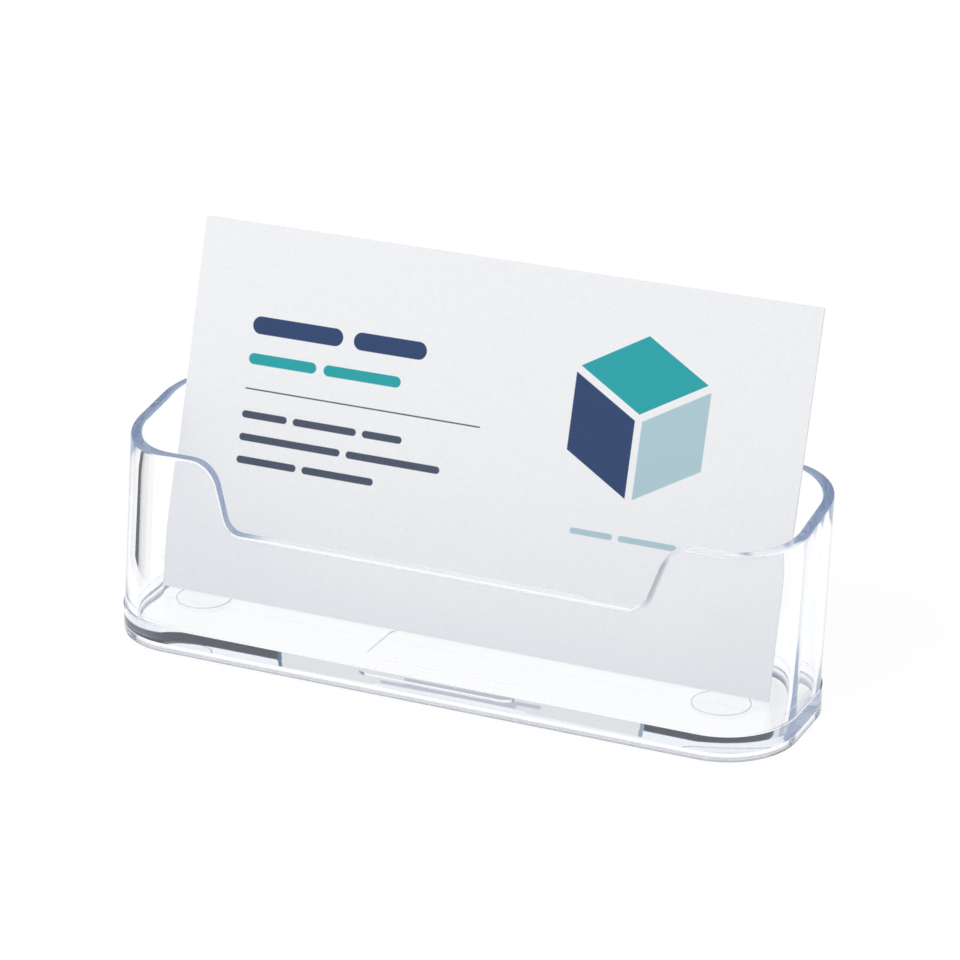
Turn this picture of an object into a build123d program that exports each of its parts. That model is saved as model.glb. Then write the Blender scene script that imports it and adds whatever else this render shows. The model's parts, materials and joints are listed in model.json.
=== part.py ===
import os
from math import atan2, cos, degrees, radians, sin, sqrt, tan

from build123d import *

# Business card, the US size that sets the scale of the stand
card_w = 88.9
card_h = 50.8
card_t = 0.35

# Where the card stands in the pocket, and its clearances
side_play = 3.9
card_left = 0.45
foot_back = 0.55
rest_gap = 0.05

# Tray walls and floor
wall = 1.6
rim_wall = 1.5
floor_t = 3.0
floor_round = 0.4
pocket_w = card_w + side_play
tray_w = pocket_w + 2 * wall
tray_d = 26.7
base_corner = 9.7
rim_corner = 8.8
rim_front = 26.5
rim_back = 30.4
front_lean = 9.75
back_lean = 3.44
side_draft = 0.25
rim_round = 0.35

# Plinth under the walls, with its hollowed sole
plinth_step = 0.2
plinth_h = 3.8
plinth_round = 0.4
plinth_w = tray_w + 2 * plinth_step
plinth_d = tray_d + 2 * plinth_step
plinth_corner = base_corner + plinth_step
sole_rim = 1.6
sole_sink = 0.9

# Bare panel sunk in the sole
panel_w = 22.4
panel_d = 10.0
panel_y = -2.4
panel_corner = 2.0
panel_sink = 0.2

# Finger cut-out in the front wall, measured at the front rim
notch_floor = 17.85
notch_w = 58.8
notch_slope = 18.9
notch_inner_r = 2.6
notch_outer_r = 4.4

# Round clear grip pads under the two ends, level with the plinth's edge and stuck on by hand
pad_d = 7.8
pad_t = sole_sink
pad_left_inset = 7.0
pad_left_y = 0.9
pad_right_inset = 9.5
pad_right_y = -0.6
pad_round = 0.15

# Rim plane, from the front wall's outer top edge to the back wall's
front_y = -tray_d / 2 + (rim_front - plinth_h) * tan(radians(front_lean))
back_y = tray_d / 2 + (rim_back - plinth_h) * tan(radians(back_lean))
rim_slope = (rim_back - rim_front) / (back_y - front_y)
mid_rim = (rim_front + rim_back) / 2
corner_fall = (base_corner - rim_corner) / (mid_rim - plinth_h)


def thickness(z):
    """Wall thickness at height z, thinning a little from floor to rim."""
    return wall + (rim_wall - wall) * (z - floor_t) / (mid_rim - floor_t)


def section(z, inset):
    """Front, back, width and corner radius of the walls at height z, moved inward by inset."""
    front = -tray_d / 2 + (z - plinth_h) * tan(radians(front_lean)) + inset
    back = tray_d / 2 + (z - plinth_h) * tan(radians(back_lean)) - inset
    width = tray_w + 2 * (z - plinth_h) * tan(radians(side_draft)) - 2 * inset
    corner = base_corner - (z - plinth_h) * corner_fall - inset
    return front, back, width, corner


def outline(z, inset):
    """Sketch of the walls' rounded rectangle at height z."""
    front, back, width, corner = section(z, inset)
    with Locations((0, (front + back) / 2)):
        RectangleRounded(width, back - front, corner)


# The card's left edge rests in the pocket's rounded rear corner, at the rim
card_x = card_left - (pocket_w - card_w) / 2
card_edge = card_w / 2 - card_x
rest_y = back_y
for _ in range(30):
    rest_z = rim_front + (rest_y - front_y) * rim_slope
    front, back, width, corner = section(rest_z, thickness(rest_z))
    across = min(max(card_edge - width / 2 + corner, 0), corner)
    rest_y = back - corner + sqrt(corner**2 - across**2)
card_lean = degrees(atan2(rest_y - rest_gap - foot_back, rest_z - floor_t))
card_normal = (0, -cos(radians(card_lean)), sin(radians(card_lean)))

# Frame: the origin is the bottom centre of the whole stand, leaning card included
reach_back = foot_back + card_h * sin(radians(card_lean))
base_y = (plinth_d / 2 - reach_back) / 2
base = Plane((0, base_y, 0))

# Tray: one moulding of plinth, leaning walls, pocket, sloping rim and finger cut-out
loft_top = rim_back + 5.0
with BuildPart() as card_tray:
    with BuildSketch(base):
        RectangleRounded(plinth_w, plinth_d, plinth_corner)
    extrude(amount=plinth_h)
    fillet(card_tray.edges().group_by(Axis.Z)[0], plinth_round)
    with BuildSketch(base.offset(plinth_h)):
        outline(plinth_h, 0)
    with BuildSketch(base.offset(loft_top)):
        outline(loft_top, 0)
    loft(ruled=True)
    with BuildSketch(base.offset(floor_t)):
        outline(floor_t, thickness(floor_t))
    with BuildSketch(base.offset(loft_top + 1)):
        outline(loft_top + 1, thickness(loft_top + 1))
    loft(ruled=True, mode=Mode.SUBTRACT)

    # Rim cut square to its slope
    rim_plane = Plane((0, base_y + front_y, rim_front), x_dir=(1, 0, 0), z_dir=(0, -rim_slope, 1))
    with BuildSketch(rim_plane):
        Rectangle(2 * tray_w, 6 * tray_d)
    extrude(amount=4 * rim_back, mode=Mode.SUBTRACT)

    # Finger cut-out, run through the front wall along the rim's slope
    start_y = base_y - tray_d
    start_z = rim_front - (tray_d + front_y) * rim_slope
    notch_plane = Plane((0, start_y, start_z), x_dir=(1, 0, 0), z_dir=(0, -1, 0))
    with BuildSketch(notch_plane):
        with BuildLine():
            fall = notch_floor - rim_front
            foot = notch_w / 2
            brow = foot - fall * tan(radians(notch_slope))
            corners = [(-tray_w, 0), (-brow, 0), (-foot, fall), (foot, fall), (brow, 0), (tray_w, 0)]
            rounds = (notch_outer_r, notch_inner_r, notch_inner_r, notch_outer_r)
            edge = FilletPolyline(*corners, radius=rounds)
            Polyline(edge @ 1, (tray_w, rim_back), (-tray_w, rim_back), edge @ 0)
        make_face()
    extrude(amount=tray_d, dir=(0, 1, rim_slope), mode=Mode.SUBTRACT)

    # Softened rim and inside floor edges
    rim_edges = card_tray.edges().filter_by(lambda e: e.bounding_box().min.Z > notch_floor - 2)
    fillet(rim_edges.filter_by(GeomType.LINE, reverse=True), rim_round)
    fillet(card_tray.edges().filter_by_position(Axis.Z, floor_t - 0.01, floor_t + 0.01), floor_round)

    # Hollowed sole and its bare panel
    with BuildSketch(base):
        RectangleRounded(plinth_w - 2 * sole_rim, plinth_d - 2 * sole_rim, plinth_corner - sole_rim)
    extrude(amount=sole_sink, mode=Mode.SUBTRACT)
    with BuildSketch(base.offset(sole_sink)):
        with Locations((0, panel_y)):
            RectangleRounded(panel_w, panel_d, panel_corner)
    extrude(amount=panel_sink, mode=Mode.SUBTRACT)


# Grip pads: clear discs bonded to the sole, one under each end
def grip_pad(x, y):
    """One disc with a softened lower edge, centred at x, y on the tray."""
    with BuildPart() as pad:
        with BuildSketch(base):
            with Locations((x, y)):
                Circle(pad_d / 2)
        extrude(amount=pad_t)
        fillet(pad.edges().group_by(Axis.Z)[0], pad_round)
    return pad.part


pad_left = grip_pad(pad_left_inset - pocket_w / 2, pad_left_y)
pad_right = grip_pad(pocket_w / 2 - pad_right_inset, pad_right_y)

# Card: stands on the floor at the left of the pocket and leans back on the rim
card_plane = Plane((card_x, base_y + foot_back, floor_t + rest_gap), x_dir=(1, 0, 0), z_dir=card_normal)
with BuildPart() as business_card:
    with BuildSketch(card_plane):
        Rectangle(card_w, card_h, align=(Align.CENTER, Align.MIN))
    extrude(amount=card_t)

os.makedirs("parts", exist_ok=True)

card_tray.part.label = "card_tray"
export_step(card_tray.part, "parts/card_tray.step")

pad_left.label = "pad_left"
export_step(pad_left, "parts/pad_left.step")

pad_right.label = "pad_right"
export_step(pad_right, "parts/pad_right.step")

business_card.part.label = "business_card"
export_step(business_card.part, "parts/business_card.step")
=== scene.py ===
import json
from math import cos, pi, radians, sin, tan

import bpy
import numpy as np
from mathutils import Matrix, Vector


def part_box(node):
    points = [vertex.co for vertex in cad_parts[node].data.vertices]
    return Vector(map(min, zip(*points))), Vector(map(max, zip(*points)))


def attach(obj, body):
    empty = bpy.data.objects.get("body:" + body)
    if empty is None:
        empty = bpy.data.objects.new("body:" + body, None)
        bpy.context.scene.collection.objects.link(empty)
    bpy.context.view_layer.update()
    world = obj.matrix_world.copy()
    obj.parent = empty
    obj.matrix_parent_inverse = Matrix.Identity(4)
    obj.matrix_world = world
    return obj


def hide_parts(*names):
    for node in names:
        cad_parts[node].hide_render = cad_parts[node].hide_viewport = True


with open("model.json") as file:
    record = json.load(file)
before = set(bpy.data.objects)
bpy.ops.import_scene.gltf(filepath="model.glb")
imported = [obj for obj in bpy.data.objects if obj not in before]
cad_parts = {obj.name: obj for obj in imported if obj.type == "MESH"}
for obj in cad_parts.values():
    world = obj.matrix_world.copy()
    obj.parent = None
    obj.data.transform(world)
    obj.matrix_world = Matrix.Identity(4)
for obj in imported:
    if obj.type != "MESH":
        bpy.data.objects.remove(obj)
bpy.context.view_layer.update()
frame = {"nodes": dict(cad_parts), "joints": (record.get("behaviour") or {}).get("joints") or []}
scene = bpy.context.scene
scene.view_settings.view_transform = "Standard"


# Camera: a long lens half a metre from the stand, a little above it and to its right,
# so that the walls stay nearly parallel in the picture.
camera_turn = radians(24.86)
camera_rise = radians(22.196)
camera_far = 0.49639
camera_lens = 143.55
camera_film = 36.0
camera_sight = (0.01, 50.0)
looked_at = Vector((0.002209, -0.001322, 0.026836))
to_camera = Vector((
    sin(camera_turn) * cos(camera_rise),
    -cos(camera_turn) * cos(camera_rise),
    sin(camera_rise),
))
camera_data = bpy.data.cameras.new("camera")
camera_data.lens = camera_lens
camera_data.sensor_width = camera_film
camera_data.clip_start, camera_data.clip_end = camera_sight
camera = bpy.data.objects.new("camera", camera_data)
camera.location = looked_at + to_camera * camera_far
camera.rotation_mode = "QUATERNION"
camera.rotation_quaternion = (-to_camera).to_track_quat("-Z", "Y")
scene.collection.objects.link(camera)
scene.camera = camera


# Desk: a smooth sheet of white paper under the stand, lit evenly.
# What looks straight at it, or through the plastic, finds it white with a soft shadow.
class Wire:
    """One socket of a node tree. Sums on wires and numbers add Math nodes."""

    def __init__(self, tree, socket=None):
        self.tree = tree
        self.socket = socket

    def node(self, kind, settings, sockets, output=0):
        """Adds a node, sets its settings and then its sockets, and gives one of its outputs."""
        made = self.tree.nodes.new(kind)
        for name, value in settings.items():
            setattr(made, name, value)
        for name, value in sockets.items():
            if isinstance(value, Wire):
                self.tree.links.new(value.socket, made.inputs[name])
            else:
                made.inputs[name].default_value = value
        return Wire(self.tree, made.outputs[output] if made.outputs else None)

    def output(self, name):
        """Another output of the node that this wire comes from."""
        return Wire(self.tree, self.socket.node.outputs[name])

    def math(self, operation, first, second=0.0):
        """A Math node on two wires or numbers."""
        return self.node("ShaderNodeMath", {"operation": operation}, {0: first, 1: second})

    def __add__(self, other):
        return self.math("ADD", self, other)

    def __radd__(self, other):
        return self.math("ADD", other, self)

    def __sub__(self, other):
        return self.math("SUBTRACT", self, other)

    def __rsub__(self, other):
        return self.math("SUBTRACT", other, self)

    def __mul__(self, other):
        return self.math("MULTIPLY", self, other)

    def __rmul__(self, other):
        return self.math("MULTIPLY", other, self)

    def __abs__(self):
        return self.math("ABSOLUTE", self)

    def most(self, other):
        """The greater of this value and another."""
        return self.math("MAXIMUM", self, other)

    def least(self, other):
        """The lesser of this value and another."""
        return self.math("MINIMUM", self, other)

    def ease(self, start, end):
        """0 below start, 1 above end and a smooth step between them."""
        return self.node(
            "ShaderNodeMapRange",
            {"interpolation_type": "SMOOTHSTEP"},
            {"Value": self, "From Min": start, "From Max": end},
        )

    def blend(self, below, above):
        """Colour below where this value is 0 and above where it is 1."""
        return self.node("ShaderNodeMix", {"data_type": "RGBA"}, {0: self, 6: below, 7: above}, 2)

    def noise(self, place, scale, detail, roughness):
        """A Noise texture over a place."""
        return self.node(
            "ShaderNodeTexNoise",
            {},
            {"Vector": place, "Scale": scale, "Detail": detail, "Roughness": roughness},
        )

    def mix(self, share, first, second):
        """The first shader where share is 0 and the second where it is 1."""
        return self.node("ShaderNodeMixShader", {}, {0: share, 1: first, 2: second})

    def surface(self, shader):
        """Joins a shader to the material's output."""
        return self.node("ShaderNodeOutputMaterial", {}, {"Surface": shader})


def new_finish(name):
    """An empty node material and a wire to build it with."""
    made = bpy.data.materials.new(name)
    made.use_nodes = True
    made.node_tree.nodes.clear()
    return made, Wire(made.node_tree)


desk_reach = 4.0
desk_first = 0.03
desk_rings = 24
desk_spokes = 96
desk_drop = 0.0001
desk_white = (0.80, 0.80, 0.80, 1.0)
desk_shade = (0.112, 0.112, 0.112, 1.0)
desk_glow = (0.90, 0.90, 0.90, 1.0)
desk_through = (0.95, 0.95, 0.95, 1.0)


def disc_points(reach, rings, spokes, level):
    """Rings of points round the origin: radius is reach times the square of u, angle is v."""
    radius = reach * np.linspace(desk_first, 1.0, rings) ** 2
    angle = np.arange(spokes) * 2 * pi / spokes
    r, a = np.meshgrid(radius, angle, indexing="ij")
    ring_points = np.stack([r * np.cos(a), r * np.sin(a), np.full_like(r, level)], axis=-1)
    return np.concatenate([[[0.0, 0.0, level]], ring_points.reshape(-1, 3)])


def disc_faces(rings, spokes):
    """Triangles from the middle to the first ring, then four-sided faces between rings."""
    spoke = np.arange(spokes)
    after = (spoke + 1) % spokes
    fan = np.stack([np.zeros_like(spoke), 1 + spoke, 1 + after], axis=1)
    ring = np.arange(rings - 1)[:, None] * spokes + 1
    quads = np.stack(
        [ring + spoke, ring + spokes + spoke, ring + spokes + after, ring + after], axis=-1
    )
    return fan.tolist() + quads.reshape(-1, 4).tolist()


desk_mesh = bpy.data.meshes.new("desk")
desk_mesh.from_pydata(
    disc_points(desk_reach, desk_rings, desk_spokes, -desk_drop).tolist(),
    [],
    disc_faces(desk_rings, desk_spokes),
)
desk = bpy.data.objects.new("desk", desk_mesh)
scene.collection.objects.link(desk)
desk_finish, wire = new_finish("desk_paper")
ray = wire.node("ShaderNodeLightPath", {}, {}, "Is Camera Ray")
through = ray.output("Is Transmission Ray")
sight = ray.most(ray.output("Is Glossy Ray")).most(through)
matt = wire.node("ShaderNodeBsdfDiffuse", {}, {"Color": desk_white})
shaded = wire.node("ShaderNodeBsdfDiffuse", {}, {"Color": desk_shade})
desk_bright = through.blend(desk_glow, desk_through)
glow = wire.node("ShaderNodeEmission", {}, {"Color": desk_bright, "Strength": 1.0})
seen_paper = wire.node("ShaderNodeAddShader", {}, {0: shaded, 1: glow})
wire.surface(wire.mix(sight, matt, seen_paper))
desk_mesh.materials.append(desk_finish)


# Room: white paper all round and overhead, with a dark strip of unlit room showing over the
# paper's edge, which gives the clear base its dark band.
tent_grey = (0.60, 0.60, 0.60, 1.0)
paper_white = (1.0, 1.0, 1.0, 1.0)
room_dark = (0.088, 0.092, 0.106, 1.0)
paper_edge = (0.10, 0.17)
paper_over = (0.62, 0.80)
room = bpy.data.worlds.new("room")
scene.world = room
room.use_nodes = True
room.node_tree.nodes.clear()
wire = Wire(room.node_tree)
ray = wire.node("ShaderNodeLightPath", {}, {}, "Is Camera Ray")
bent = ray.output("Is Glossy Ray").most(ray.output("Is Transmission Ray"))
heading = wire.node("ShaderNodeTexCoord", {}, {}, "Generated")
rising = wire.node("ShaderNodeSeparateXYZ", {}, {0: heading}, "Z")
strip = rising.ease(*paper_edge) * (1 - rising.ease(*paper_over))
bent_sight = strip.blend(paper_white, room_dark)
plain = (1 - ray) * (1 - bent)
room_colour = plain.blend(ray.blend(bent_sight, paper_white), tent_grey)
room_light = wire.node("ShaderNodeBackground", {}, {"Color": room_colour, "Strength": 1.0})
wire.node("ShaderNodeOutputWorld", {}, {"Surface": room_light})


# Lamps: one broad soft box at the upper left, and a weaker one behind that lights the card's back
# and is kept out of the plastic's reflections.
lamp_wide = 0.9
lamp_deep = 0.6
key_place = (-0.45, -0.65, 0.85)
key_watts = 5.6
fill_place = (0.40, 0.80, 0.70)
fill_watts = 3.0


def soft_lamp(name, place, watts):
    """A soft box at a place, turned to face the stand."""
    data = bpy.data.lights.new(name, "AREA")
    data.shape = "RECTANGLE"
    data.size = lamp_wide
    data.size_y = lamp_deep
    data.energy = watts
    lamp = bpy.data.objects.new(name, data)
    lamp.location = place
    lamp.rotation_mode = "QUATERNION"
    lamp.rotation_quaternion = (-lamp.location).to_track_quat("-Z", "Y")
    lamp.visible_camera = False
    scene.collection.objects.link(lamp)
    return lamp


soft_lamp("soft_lamp", key_place, key_watts)
fill_lamp = soft_lamp("fill_lamp", fill_place, fill_watts)
fill_lamp.visible_glossy = False
fill_lamp.visible_transmission = False


# Studio cards: small paper cards close behind and beside the stand, which only its plastic picks up, and
# only in light that has turned back inside it. A pale one with grey streaks lightens the dark band's
# middle between blue fringes, a white one keeps the floor white, and a dark one draws the left edge.
cards_back = 0.0152
cards_front = 0.0150
cards_left = -0.075
cards_step = 0.0075
pale_grey = (0.88, 0.86, 0.835, 1.0)
streak_grey = (0.58, 0.58, 0.62, 1.0)
off_white = (0.96, 0.945, 0.92, 1.0)
fringe_blue = (0.13, 0.20, 0.30, 1.0)
fringe_grey = (0.36, 0.40, 0.50, 1.0)
turned_once = (0.4, 0.6)
turned_more = (3.4, 3.6)
studio_cards = (
    ("pale_card", (-0.0303, cards_back, 0.0), (0.0537, 0.0, 0.0), cards_step, pale_grey),
    ("low_streak", (-0.0150, cards_front, 0.0006), (0.0205, 0.0, 0.0), 0.0020, streak_grey),
    ("high_streak", (-0.0115, cards_front, 0.0042), (0.0205, 0.0, 0.0), 0.0014, streak_grey),
    ("left_fringe", (-0.0309, cards_back, 0.0), (0.0006, 0.0, 0.0), cards_step, fringe_blue),
    ("right_fringe", (0.0234, cards_back, 0.0), (0.0006, 0.0, 0.0), cards_step, fringe_grey),
    ("white_card", (cards_left, cards_back, cards_step), (0.112, 0.0, 0.0), 0.0125, off_white),
    ("dark_card", (cards_left, -0.030, 0.0), (0.0, 0.030, 0.0), 0.040, room_dark),
)
for name, corner, side, rise, colour in studio_cards:
    lower = np.array([corner, np.add(corner, side)])
    upper = lower[::-1] + (0.0, 0.0, rise)
    mesh = bpy.data.meshes.new(name)
    mesh.from_pydata(np.concatenate([lower, upper]).tolist(), [], [(0, 1, 2, 3)])
    studio_card = bpy.data.objects.new(name, mesh)
    studio_card.visible_camera = False
    studio_card.visible_diffuse = False
    studio_card.visible_shadow = False
    scene.collection.objects.link(studio_card)
    card_finish, wire = new_finish(name + "_paper")
    card_glow = wire.node("ShaderNodeEmission", {}, {"Color": colour, "Strength": 1.0})
    turns = wire.node("ShaderNodeLightPath", {}, {}, "Glossy Depth")
    turned = turns.ease(*turned_once)
    if name == "dark_card":
        turned = turned * (1 - turns.output("Ray Depth").ease(*turned_more))
    unseen = wire.node("ShaderNodeBsdfTransparent", {}, {})
    wire.surface(wire.mix(turned, unseen, card_glow))
    mesh.materials.append(card_finish)


# Tray: one injection moulding in clear plastic, with a faint blue cast where light runs along it.
# One profile, from the sole's panel out, up the wall, over the rim and down to the floor, runs round
# a rounded rectangle. The rim slopes, and a wide finger cut-out dips into it at the front.
tray_wide = 0.0960
tray_deep = 0.0267
base_corner = 0.0097
rim_corner = 0.0088
rim_front = 0.0265
rim_back = 0.0304
rim_round = 0.00035
front_lean = tan(radians(9.75))
back_lean = tan(radians(3.44))
side_draft = tan(radians(0.25))
wall_thick = 0.0016
rim_thick = 0.0015
floor_level = 0.0030
floor_round = 0.0004
plinth_step = 0.0002
plinth_high = 0.0038
plinth_round = 0.0004
sole_rim = 0.0016
sole_sink = 0.0009
panel_half = (0.0112, 0.0050)
panel_corner = 0.0020
panel_y = -0.0024
panel_sink = 0.0002
notch_drop = 0.00865
notch_foot = 0.0294
notch_slope = radians(18.9)
notch_inner = 0.0026
notch_outer = 0.0044
tray_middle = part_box("card_tray")[0][1] + tray_deep / 2 + plinth_step
rim_front_y = -tray_deep / 2 + (rim_front - plinth_high) * front_lean
rim_back_y = tray_deep / 2 + (rim_back - plinth_high) * back_lean
rim_slope = (rim_back - rim_front) / (rim_back_y - rim_front_y)
rim_middle = (rim_front + rim_back) / 2
corner_fall = (base_corner - rim_corner) / (rim_middle - plinth_high)

# How finely the profile and the way round are divided
corner_steps = 60
side_steps = 12
outer_steps = 22
inner_steps = 16
slope_steps = 10
notch_steps = 24
notch_lead = 1.04
round_steps = 8
rim_steps = 9
wall_steps = 8
plinth_steps = 4
rim_tries = 6
tray_crease = radians(38.0)


def wall_at(z):
    """Wall thickness at height z, thinning evenly from floor to rim."""
    return wall_thick + (rim_thick - wall_thick) * (z - floor_level) / (rim_middle - floor_level)


def front_columns():
    """Places across the front, and the cut-out's dip and steepness there.

    From the left: flat, outer arc, straight slope, inner arc and the cut-out's floor, then the same back.
    """
    turn = pi / 2 - notch_slope
    brow = notch_foot + notch_drop * tan(notch_slope)
    outer = np.linspace(0.0, turn, outer_steps)
    inner = np.linspace(turn, 0.0, inner_steps)
    outer_x = brow + notch_outer * tan(turn / 2) - notch_outer * np.sin(outer)
    inner_x = notch_foot - notch_inner * tan(turn / 2) + notch_inner * np.sin(inner)
    outer_dip = notch_outer * (np.cos(outer) - 1)
    inner_dip = -notch_drop + notch_inner * (1 - np.cos(inner))
    slope = np.linspace(0.0, 1.0, slope_steps)[1:-1]
    slope_x = outer_x[-1] + (inner_x[0] - outer_x[-1]) * slope
    slope_dip = outer_dip[-1] + (inner_dip[0] - outer_dip[-1]) * slope
    x = np.concatenate([[outer_x[0] * notch_lead], outer_x, slope_x, inner_x])
    dip = np.concatenate([[0.0], outer_dip, slope_dip, inner_dip])
    steep = np.concatenate([[0.0], outer, np.full(len(slope), turn), inner])
    reach = tray_wide / 2 - base_corner + (rim_front + dip - plinth_high) * (side_draft + corner_fall)
    across = np.append(1.0, x / reach)
    dip = np.append(0.0, dip)
    steep = np.append(0.0, steep)
    between = np.linspace(-across[-1], across[-1], notch_steps)[1:-1]
    flat = np.full(len(between), -notch_drop)
    return (
        np.concatenate([-across, between, across[:0:-1]]),
        np.concatenate([dip, flat, dip[:0:-1]]),
        np.concatenate([steep, np.zeros(len(between)), steep[:0:-1]]),
    )


front_across, front_dip, front_steep = front_columns()
corner_turn = np.linspace(0.0, pi / 2, corner_steps, endpoint=False)
straight = np.linspace(-1.0, 1.0, side_steps, endpoint=False)
front_ones = np.ones(len(front_across))
corner_ones = np.ones(corner_steps)
side_ones = np.ones(side_steps)
columns = np.concatenate(
    [
        [front_across, -front_ones, -pi / 2 * front_ones],
        [corner_ones, -corner_ones, corner_turn - pi / 2],
        [side_ones, straight, 0 * side_ones],
        [corner_ones, corner_ones, corner_turn],
        [-straight, side_ones, pi / 2 * side_ones],
        [-corner_ones, corner_ones, corner_turn + pi / 2],
        [-side_ones, -straight, pi * side_ones],
        [-corner_ones, -corner_ones, corner_turn + pi],
    ],
    axis=1,
)
level_columns = np.zeros(columns.shape[1] - len(front_across))
rim_dip = np.append(front_dip, level_columns)
rim_stretch = 1 / np.cos(np.append(front_steep, level_columns))


def rounded_ring(front, back, half, corner, z):
    """A rounded rectangle at height z: corner centres, plus the corner radius along each angle."""
    across, along_side, angle = columns
    x = across * (half - corner) + corner * np.cos(angle)
    y = (front + back) / 2 + along_side * ((back - front) / 2 - corner) + corner * np.sin(angle)
    return np.stack(np.broadcast_arrays(x, y + tray_middle, z), axis=-1)


def wall_ring(shape_z, inset, z):
    """The walls' outline for height shape_z, moved inward by inset and set at height z."""
    up = shape_z - plinth_high
    return rounded_ring(
        up * front_lean + inset - tray_deep / 2,
        up * back_lean - inset + tray_deep / 2,
        up * side_draft - inset + tray_wide / 2,
        base_corner - up * corner_fall - inset,
        z,
    )


def rim_height(inset):
    """Height of the sloping rim, cut-out included, over the wall's outline moved inward by inset.

    Height sets the outline and the outline sets the height, so the two are tried in turn.
    """
    z = rim_middle + rim_dip
    for _ in range(rim_tries):
        y = wall_ring(z, inset, z)[:, 1] - tray_middle
        z = rim_front + (y - rim_front_y) * rim_slope + rim_dip
    return z


def tray_rings():
    """The profile's rings in order, from the sole's panel to the floor inside."""
    panel_wide, panel_deep = panel_half
    panel = (panel_y - panel_deep, panel_y + panel_deep, panel_wide, panel_corner)
    rings = [rounded_ring(*panel, sole_sink + panel_sink), rounded_ring(*panel, sole_sink)]
    for z in (sole_sink, 0.0):
        rings.append(wall_ring(plinth_high, sole_rim - plinth_step, z))
    for bend in np.linspace(0.0, pi / 2, round_steps):
        inset = plinth_round * (1 - sin(bend)) - plinth_step
        rings.append(wall_ring(plinth_high, inset, plinth_round * (1 - cos(bend))))
    for z in np.linspace(plinth_round, plinth_high, plinth_steps)[1:]:
        rings.append(wall_ring(plinth_high, -plinth_step, z))
    outer = rim_height(0.0)
    inner = rim_height(rim_thick)
    rounding = rim_round * rim_stretch
    for share in np.linspace(0.0, 1.0, wall_steps):
        z = plinth_high + share * (outer - rounding - plinth_high)
        rings.append(wall_ring(z, 0.0, z))
    for bend in np.linspace(0.0, pi / 2, rim_steps)[1:]:
        inset = rim_round * (1 - cos(bend))
        z = outer + (inner - outer) * inset / rim_thick - rounding * (1 - sin(bend))
        rings.append(wall_ring(z, inset, z))
    for bend in np.linspace(pi / 2, 0.0, rim_steps):
        inset = rim_thick - rim_round * (1 - cos(bend))
        z = outer + (inner - outer) * inset / rim_thick - rounding * (1 - sin(bend))
        rings.append(wall_ring(z, inset + wall_at(z) - rim_thick, z))
    floor_turn = floor_level + floor_round
    for share in np.linspace(1.0, 0.0, wall_steps)[1:]:
        z = floor_turn + share * (inner - rounding - floor_turn)
        rings.append(wall_ring(z, wall_at(z), z))
    for bend in np.linspace(0.0, pi / 2, round_steps)[1:]:
        z = floor_level + floor_round * (1 - sin(bend))
        rings.append(wall_ring(z, wall_at(z) + floor_round * (1 - cos(bend)), z))
    return np.array(rings)


tray_points = tray_rings()
corner_ids = np.arange(tray_points.shape[0] * tray_points.shape[1]).reshape(tray_points.shape[:2])
next_ids = np.roll(corner_ids, -1, axis=1)
tray_quads = np.stack([corner_ids[:-1], next_ids[:-1], next_ids[1:], corner_ids[1:]], axis=-1)
tray_caps = [corner_ids[0, ::-1].tolist(), corner_ids[-1].tolist()]
tray_mesh = bpy.data.meshes.new("tray_moulding")
tray_mesh.from_pydata(
    tray_points.reshape(-1, 3).tolist(), [], tray_quads.reshape(-1, 4).tolist() + tray_caps
)
tray_mesh.shade_smooth()
tray_mesh.set_sharp_from_angle(angle=tray_crease)
tray = bpy.data.objects.new("tray_moulding", tray_mesh)
scene.collection.objects.link(tray)
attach(tray, "stand")
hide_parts("card_tray")

# The plastic is polished, with a slight waviness from the mould and a very fine haze.
plastic_ior = 1.51
plastic_white = (1.0, 1.0, 1.0, 1.0)
plastic_shade = (0.935, 0.94, 0.948, 1.0)
plastic_tint = (0.36, 0.52, 0.76, 1.0)
plastic_density = 9.0
wave_scale = 55.0
wave_strength = 0.006
wave_height = 0.0004
haze_scale = 900.0
gloss_least = 0.012
gloss_haze = 0.03
clear_plastic, wire = new_finish("clear_plastic_gloss")
place = wire.node("ShaderNodeTexCoord", {}, {}, "Object")
wave = wire.noise(place, wave_scale, 1.0, 0.4)
wavy = wire.node(
    "ShaderNodeBump", {}, {"Strength": wave_strength, "Distance": wave_height, "Height": wave}
)
haze = wire.noise(place, haze_scale, 3.0, 0.6)
body = wire.node(
    "ShaderNodeBsdfPrincipled",
    {},
    {
        "Base Color": plastic_white,
        "Roughness": gloss_least + haze * gloss_haze,
        "IOR": plastic_ior,
        "Transmission Weight": 1.0,
        "Normal": wavy,
    },
)
lamp_ray = wire.node("ShaderNodeLightPath", {}, {}, "Is Shadow Ray")
soft_ray = lamp_ray.most(lamp_ray.output("Is Diffuse Ray"))
passed = wire.node("ShaderNodeBsdfTransparent", {}, {"Color": plastic_shade})
plastic = wire.mix(soft_ray, body, passed)

# Painted shade: a blue-grey diffuse, mixed into the plastic in a faint hazy share, darkens the rounded
# bottom edge and the cut-out's right side. It stands in for the dark edges that refraction and contact
# shadow give there.
painted_edge_shade = (0.42, 0.45, 0.53, 1.0)
sole_clear = (0.00001, 0.00004)
edge_clear = (plinth_round * 0.7, plinth_round * 1.2)
slope_near = (-0.0014, -0.0007)
slope_past = (0.0003, 0.0009)
slope_behind = (-0.008, -0.006)
slope_bottom = (0.0004, 0.0016)
painted_shade_least = 0.3
painted_shade_haze = 0.4
spot_x = wire.node("ShaderNodeSeparateXYZ", {}, {0: place}, "X")
spot_y = spot_x.output("Y")
spot_z = spot_x.output("Z")
painted_bottom_shade = spot_z.ease(*sole_clear) * (1 - spot_z.ease(*edge_clear))
above_notch = spot_z - (rim_front - notch_drop) - (spot_y - tray_middle - rim_front_y) * rim_slope
from_slope = (spot_x - notch_foot - above_notch * tan(notch_slope)) * cos(notch_slope)
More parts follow.
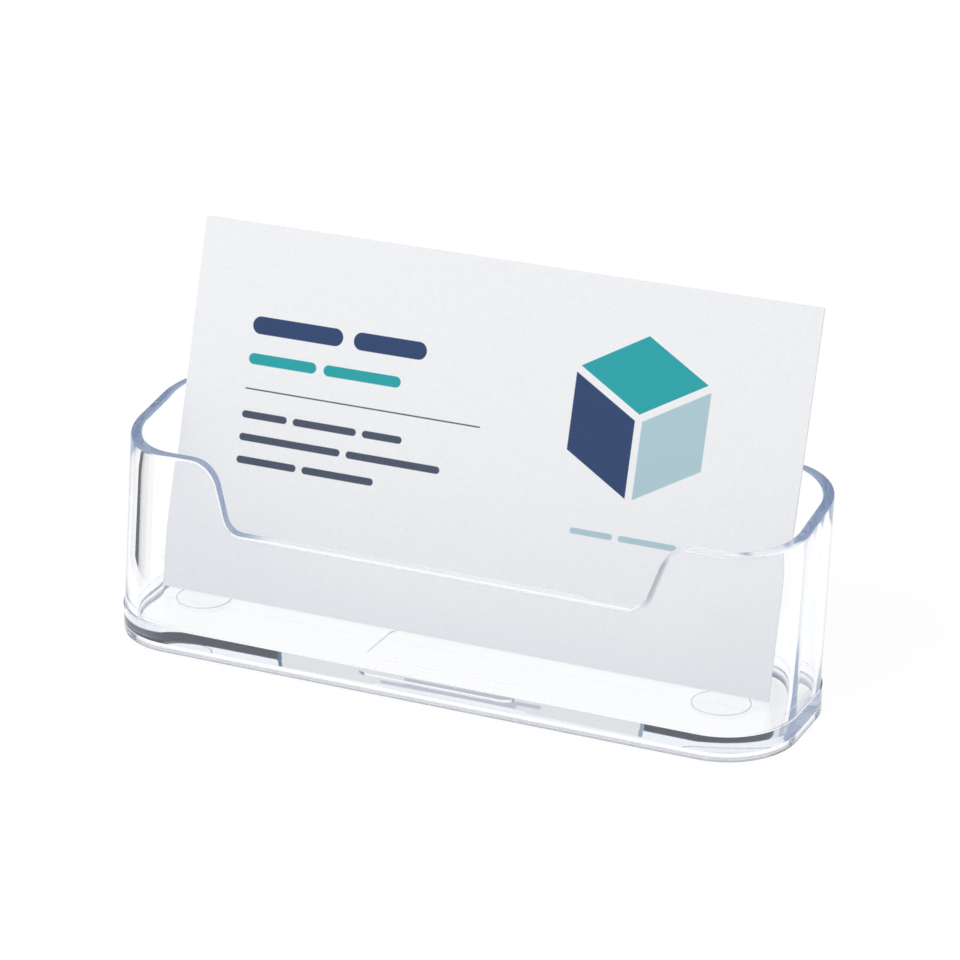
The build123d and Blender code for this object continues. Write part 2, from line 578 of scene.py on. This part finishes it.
painted_slope_shade = from_slope.ease(*slope_near) * (1 - from_slope.ease(*slope_past))
painted_slope_shade = painted_slope_shade * (1 - spot_y.ease(*slope_behind)) * above_notch.ease(*slope_bottom)
painted_shade_share = painted_bottom_shade.most(painted_slope_shade) * (painted_shade_least + haze * painted_shade_haze)
# Painted shade: this blue-grey diffuse is mixed in along the bottom edge and the cut-out's right side.
painted_shade_diffuse = wire.node("ShaderNodeBsdfDiffuse", {}, {"Color": painted_edge_shade})
plastic = wire.mix(painted_shade_share, plastic, painted_shade_diffuse)

# Painted glow: where a ray has turned back many times inside the plastic, it ends in an emission that
# stands in for the light such long paths carry. The glow is an even blue grey in faint streaks, painted
# nearly white on the front and right walls, which look over white paper.
plastic_spent = (0.35, 0.415, 0.56, 1.0)
plastic_lit = (0.93, 0.94, 0.95, 1.0)
many_turns = (6.0, 10.0)
front_behind = (-0.011, -0.008)
front_left = (-0.033, -0.028)
front_right = (0.040, 0.044)
right_start = (0.0440, 0.0455)
right_foot = (0.006, 0.010)
streak_scale = 160.0
streak_edge = (0.5, 0.85)
streak_share = 0.4
turned_back = lamp_ray.output("Ray Depth").ease(*many_turns)
front_lit = (1 - spot_y.ease(*front_behind)) * (1 - spot_x.ease(*front_right)) * spot_x.ease(*front_left)
right_lit = spot_x.ease(*right_start) * spot_z.ease(*right_foot)
streak = wire.noise(place, streak_scale, 2.0, 0.5)
lit = front_lit.most(right_lit).most(streak.ease(*streak_edge) * streak_share)
painted_glow_colour = lit.blend(plastic_spent, plastic_lit)
# Painted glow: an emission in the colour above, mixed in where rays have turned back many times.
painted_glow = wire.node("ShaderNodeEmission", {}, {"Color": painted_glow_colour, "Strength": 1.0})
plastic = wire.mix(turned_back, plastic, painted_glow)
cast = wire.node("ShaderNodeVolumeAbsorption", {}, {"Color": plastic_tint, "Density": plastic_density})
wire.node("ShaderNodeOutputMaterial", {}, {"Surface": plastic, "Volume": cast})
clear_plastic.cycles.emission_sampling = "NONE"
tray_mesh.materials.append(clear_plastic)

# Light runs a long way inside clear plastic before it comes out.
light_turns = 32
scene.cycles.max_bounces = light_turns
scene.cycles.glossy_bounces = light_turns
scene.cycles.transmission_bounces = light_turns
scene.cycles.transparent_max_bounces = light_turns
scene.cycles.caustics_refractive = False
scene.cycles.caustics_reflective = False


# Grip pads: two soft clear discs stuck under the ends of the tray, a little cloudy,
# with an edge that shows as a thin ring through the floor.
pad_bond = 0.00002
pad_lip = 0.00015
pad_turns = 96
pad_lip_steps = 7
pad_under_steps = 5
pad_over_steps = 6
pad_hub = 0.1
pad_under_end = 0.9


def pad_points(middle_x, middle_y, reach, top):
    """A disc's profile turned about its axis.

    The profile runs from the middle underneath over the rounded edge to the middle on top.
    """
    bend = np.linspace(-pi / 2, 0.0, pad_lip_steps)
    under_x = np.linspace(pad_hub, pad_under_end, pad_under_steps) * reach
    under = np.stack([under_x, np.zeros(pad_under_steps)], axis=1)
    lip = np.stack([reach - pad_lip + pad_lip * np.cos(bend), pad_lip + pad_lip * np.sin(bend)], axis=1)
    over_x = np.linspace(1.0, pad_hub, pad_over_steps) * reach
    over = np.stack([over_x, np.full(pad_over_steps, top)], axis=1)
    profile = np.concatenate([under, lip, over])
    angle = np.arange(pad_turns) * 2 * pi / pad_turns
    around = np.stack(
        [
            middle_x + profile[:, :1] * np.cos(angle),
            middle_y + profile[:, :1] * np.sin(angle),
            np.repeat(profile[:, 1:], pad_turns, axis=1),
        ],
        axis=-1,
    )
    ends = [[[middle_x, middle_y, 0.0]], around.reshape(-1, 3), [[middle_x, middle_y, top]]]
    return np.concatenate(ends)


def pad_faces(count):
    """Four-sided faces between the profile's rings, and a fan of triangles at each end."""
    rings = (count - 2) // pad_turns
    spoke = np.arange(pad_turns)
    after = (spoke + 1) % pad_turns
    ring = np.arange(rings - 1)[:, None] * pad_turns + 1
    quads = np.stack(
        [ring + spoke, ring + after, ring + pad_turns + after, ring + pad_turns + spoke], axis=-1
    )
    last = (rings - 1) * pad_turns + 1
    bottom = np.stack([np.zeros_like(spoke), 1 + after, 1 + spoke], axis=1)
    top = np.stack([np.full_like(spoke, count - 1), last + spoke, last + after], axis=1)
    return bottom.tolist() + quads.reshape(-1, 4).tolist() + top.tolist()


# The pads' soft plastic is nearly clear, with a cloudy middle and a ring where the edge is pressed on.
pad_pale = (0.84, 0.85, 0.86, 1.0)
pad_grey = (0.62, 0.64, 0.68, 1.0)
pad_shade = (0.99, 0.99, 0.99, 1.0)
pad_ior = 1.45
ring_start = (0.945, 0.96)
ring_top = (0.0007, 0.0009)
cloud_scale = 420.0
cloud_edge = (0.45, 0.7)
cloud_reach = (0.15, 0.55)
grain_strength = 0.15
grain_height = 0.0002
soft_least = 0.35
soft_cloud = 0.2
fill_least = 0.02
fill_ring = 0.6
fill_cloud = 0.08
pad_clear, wire = new_finish("clear_pad_soft")
place = wire.node("ShaderNodeTexCoord", {}, {}, "Object")
pad_height = wire.node("ShaderNodeSeparateXYZ", {}, {0: place}, "Z")
outward = wire.node("ShaderNodeAttribute", {"attribute_name": "outward"}, {}, "Fac")
rim = outward.ease(*ring_start) * pad_height.ease(*ring_top)
cloud = wire.noise(place, cloud_scale, 4.0, 0.6)
blotch = cloud.ease(*cloud_edge) * (1 - outward.ease(*cloud_reach))
grain = wire.node(
    "ShaderNodeBump", {}, {"Strength": grain_strength, "Distance": grain_height, "Height": cloud}
)
pad_body = wire.node(
    "ShaderNodeBsdfPrincipled",
    {},
    {
        "Base Color": rim.blend(pad_pale, pad_grey),
        "Roughness": soft_least + cloud * soft_cloud,
        "IOR": pad_ior,
        "Normal": grain,
    },
)
passed = wire.node("ShaderNodeBsdfTransparent", {}, {"Color": pad_shade})
filled = fill_least + rim * fill_ring + blotch * fill_cloud
wire.surface(wire.mix(filled, passed, pad_body))
for name in ("pad_left", "pad_right"):
    pad_low, pad_high = (np.array(corner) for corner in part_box(name))
    middle = (pad_low + pad_high) / 2
    reach = (pad_high[0] - pad_low[0]) / 2
    points = pad_points(middle[0], middle[1], reach, pad_high[2] + pad_bond)
    mesh = bpy.data.meshes.new(name + "_disc")
    mesh.from_pydata(points.tolist(), [], pad_faces(len(points)))
    from_middle = np.hypot(points[:, 0] - middle[0], points[:, 1] - middle[1]) / reach
    mesh.attributes.new("outward", "FLOAT", "POINT").data.foreach_set("value", from_middle)
    mesh.materials.append(pad_clear)
    mesh.shade_smooth()
    piece = bpy.data.objects.new(name + "_disc", mesh)
    scene.collection.objects.link(piece)
    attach(piece, "stand")
    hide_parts(name)


# Card: one business card in smooth white stock, standing on the tray's floor and leaning on the rim.
# Its print is a plain design of its own in navy, teal and grey, on the front face only.
card = frame["nodes"]["business_card"]
card_low = Vector(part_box("business_card")[0])
card_lift = next(joint for joint in frame["joints"] if joint["name"] == "card_lift")
card_up = Vector(card_lift["axis"]).normalized()
card_across = Vector((1.0, 0.0, 0.0))
card_out = Vector((0.0, -card_up.z, card_up.y))
card_thick = 0.00035
card_front = (card_thick * 0.6, card_thick * 0.8)
card_foot = Vector((card_low.x, card_low.y + card_thick * card_up.z, card_low.z))
card_ior = 1.45
fibre_scale = 2200.0
fibre_edge = (0.3, 0.7)
tooth_strength = 0.12
tooth_height = 0.0001
stock_least = 0.55
stock_fibre = 0.1
ink_soft = 0.00006


def display(red, green, blue):
    """A colour as seen on a screen, 0 to 255, as linear red, green and blue."""
    seen = np.array([red, green, blue]) / 255
    linear = np.where(seen <= 0.04045, seen / 12.92, ((seen + 0.055) / 1.055) ** 2.4)
    return [*linear.tolist(), 1.0]


def vector_sum(wire, operation, first, second):
    """A Vector Math node on two vectors."""
    return wire.node("ShaderNodeVectorMath", {"operation": operation}, {0: first, 1: second})


def along(wire, spot, way):
    """How far a point lies along a direction: their dot product."""
    return vector_sum(wire, "DOT_PRODUCT", spot, way).output("Value")


def printed_bar(wire, spot, left, right, middle, bar_high):
    """1 inside a bar with round ends: the distance from its middle line is less than half its height."""
    half = Vector(((right - left - bar_high) / 2, 0.0, 0.0))
    centre = Vector(((left + right) / 2, middle, 0.0))
    off = vector_sum(wire, "SUBTRACT", spot, centre)
    off = wire.node("ShaderNodeVectorMath", {"operation": "ABSOLUTE"}, {0: off})
    off = vector_sum(wire, "SUBTRACT", off, half)
    off = vector_sum(wire, "MAXIMUM", off, Vector((0.0, 0.0, 0.0)))
    away = wire.node("ShaderNodeVectorMath", {"operation": "LENGTH"}, {0: off}, "Value")
    return 1 - away.ease(bar_high / 2 - ink_soft, bar_high / 2 + ink_soft)


stock_dim = display(243, 244, 247)
stock_bright = display(247, 248, 250)
navy = display(40, 66, 112)
teal = display(26, 166, 172)
slate = display(74, 84, 104)
mist = display(176, 205, 214)
card_lines = (
    (0.0372, 0.0024, navy, ((0.0090, 0.0226), (0.0242, 0.0350))),
    (0.0326, 0.0015, teal, ((0.0090, 0.0192), (0.0203, 0.0318))),
    (0.0285, 0.0002, slate, ((0.0090, 0.0440),)),
    (0.0250, 0.0010, slate, ((0.0090, 0.0158), (0.0167, 0.0262), (0.0271, 0.0330))),
    (0.0219, 0.0010, slate, ((0.0090, 0.0242), (0.0251, 0.0390))),
    (0.0188, 0.0010, slate, ((0.0090, 0.0180), (0.0189, 0.0296))),
    (0.0172, 0.0008, mist, ((0.0585, 0.0645), (0.0653, 0.0735))),
)
card_stock, wire = new_finish("card_stock_print")
place = wire.node("ShaderNodeTexCoord", {}, {}, "Object")
fibre = wire.noise(place, fibre_scale, 5.0, 0.65)
tooth = wire.node(
    "ShaderNodeBump", {}, {"Strength": tooth_strength, "Distance": tooth_height, "Height": fibre}
)
tone = fibre.ease(*fibre_edge).blend(stock_dim, stock_bright)
from_foot = vector_sum(wire, "SUBTRACT", place, card_foot)
front_face = along(wire, from_foot, card_out).ease(*card_front)
spot = wire.node(
    "ShaderNodeCombineXYZ",
    {},
    {"X": along(wire, from_foot, card_across), "Y": along(wire, from_foot, card_up)},
)
for middle, bar_high, ink, words in card_lines:
    for left, right in words:
        tone = (printed_bar(wire, spot, left, right, middle, bar_high) * front_face).blend(tone, ink)

# The mark is a block seen from its corner: a hexagon in three faces with thin gaps between them.
block_middle = Vector((0.0660, 0.0330, 0.0))
block_reach = 0.0094
block_gap = 0.0005
in_mark = vector_sum(wire, "SUBTRACT", spot, block_middle)
sideways = along(wire, in_mark, card_across)
left_slope = along(wire, in_mark, Vector((cos(pi / 3), sin(pi / 3), 0.0)))
right_slope = along(wire, in_mark, Vector((-cos(pi / 3), sin(pi / 3), 0.0)))
from_centre = abs(sideways).most(abs(left_slope)).most(abs(right_slope))
inside = (1 - from_centre.ease(block_reach - ink_soft, block_reach + ink_soft)) * front_face
block_faces = (
    (left_slope.least(right_slope), teal),
    ((0 - left_slope).least(0 - sideways), navy),
    ((0 - right_slope).least(sideways), mist),
)
for within, ink in block_faces:
    face = within.ease(block_gap - ink_soft, block_gap + ink_soft)
    tone = (face * inside).blend(tone, ink)
stock = wire.node(
    "ShaderNodeBsdfPrincipled",
    {},
    {
        "Base Color": tone,
        "Roughness": stock_least + fibre * stock_fibre,
        "IOR": card_ior,
        "Normal": tooth,
    },
)
wire.surface(stock)
card.material_slots[0].material = card_stock
